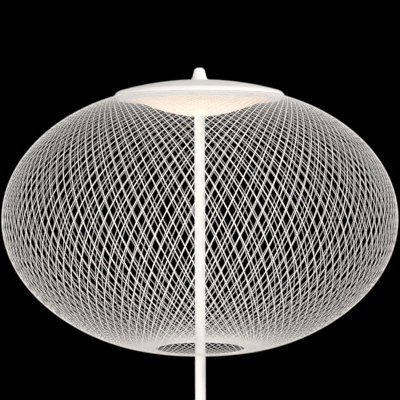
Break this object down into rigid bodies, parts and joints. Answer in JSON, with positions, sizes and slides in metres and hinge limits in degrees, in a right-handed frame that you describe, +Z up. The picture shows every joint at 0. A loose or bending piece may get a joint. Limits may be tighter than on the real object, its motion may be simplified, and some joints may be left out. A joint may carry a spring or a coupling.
{
  "type": "floor lamp",
  "caption": "Floor lamp with a wide flattened-ball shade of crossing wound strands round a slim pole, a domed cap with a dimmer knob, an opal diffuser and a weighted round base.",
  "frame": {"origin": "centre of the base on the floor, under the pole", "axes": "+Z up along the pole, -Y towards the viewer of the picture, +Y towards the cord gland"},
  "size_m": [0.7998, 0.7998, 1.7617],
  "materials": {
    "strand_resin": "satin resin-soaked glass strand",
    "white_powder": "fine matt powder coat",
    "opal_acrylic": "satin opal",
    "black_rubber": "moulded",
    "raw_steel": "mill finish",
    "zinc_screw": "zinc plated",
    "bare_aluminium": "turned",
    "board_white": "white solder mask",
    "emitter_yellow": "phosphor",
    "driver_white": "moulded",
    "lead_white": "flexible sheath",
    "dimmer_black": "moulded",
    "turned_brass": "turned"
  },
  "bodies": {
    "stand": {"rubber_feet": "black_rubber", "base_weight": "raw_steel", "cord_gland": "black_rubber", "base_cover": "white_powder", "pole_flange": "raw_steel", "flange_bolts": "zinc_screw", "pole_collar": "white_powder", "lower_pole": "white_powder", "upper_pole": "white_powder", "pole_joiner": "raw_steel", "pole_lead": "lead_white", "head_hub": "bare_aluminium", "hub_grub_screws": "zinc_screw", "carrier_plate": "bare_aluminium", "head_washer": "zinc_screw", "head_nut": "zinc_screw", "led_board": "board_white", "led_chips": "emitter_yellow", "led_driver": "driver_white", "driver_screws": "zinc_screw", "diffuser_bowl": "opal_acrylic", "clamp_ring": "white_powder", "clamp_screws": "zinc_screw", "cap_dome": "white_powder", "cap_pillars": "bare_aluminium", "cap_screws": "zinc_screw", "dimmer_body": "dimmer_black", "dimmer_bush": "turned_brass", "dimmer_nut": "turned_brass", "shade_top_hoop": "strand_resin", "shade_mouth_hoop": "strand_resin", "shade_strands_right": "strand_resin", "shade_strands_left": "strand_resin"},
    "plunger": {"dimmer_sleeve": "turned_brass"},
    "knob": {"dimmer_shaft": "bare_aluminium", "dimmer_knob": "white_powder", "knob_grub_screw": "zinc_screw"}
  },
  "joints": [
    {"name": "dimmer_push", "type": "slide", "parent": "stand", "child": "plunger", "axis": [0, 0, -1], "range_m": [0, 0.0012], "stiffness_N_per_m": 2000, "springref_m": -0.001},
    {"name": "dimmer_turn", "type": "hinge", "parent": "plunger", "child": "knob", "pos_m": [0, 0, 1.75], "axis": [0, 0, 1], "range_deg": [0, 270]}
  ]
}
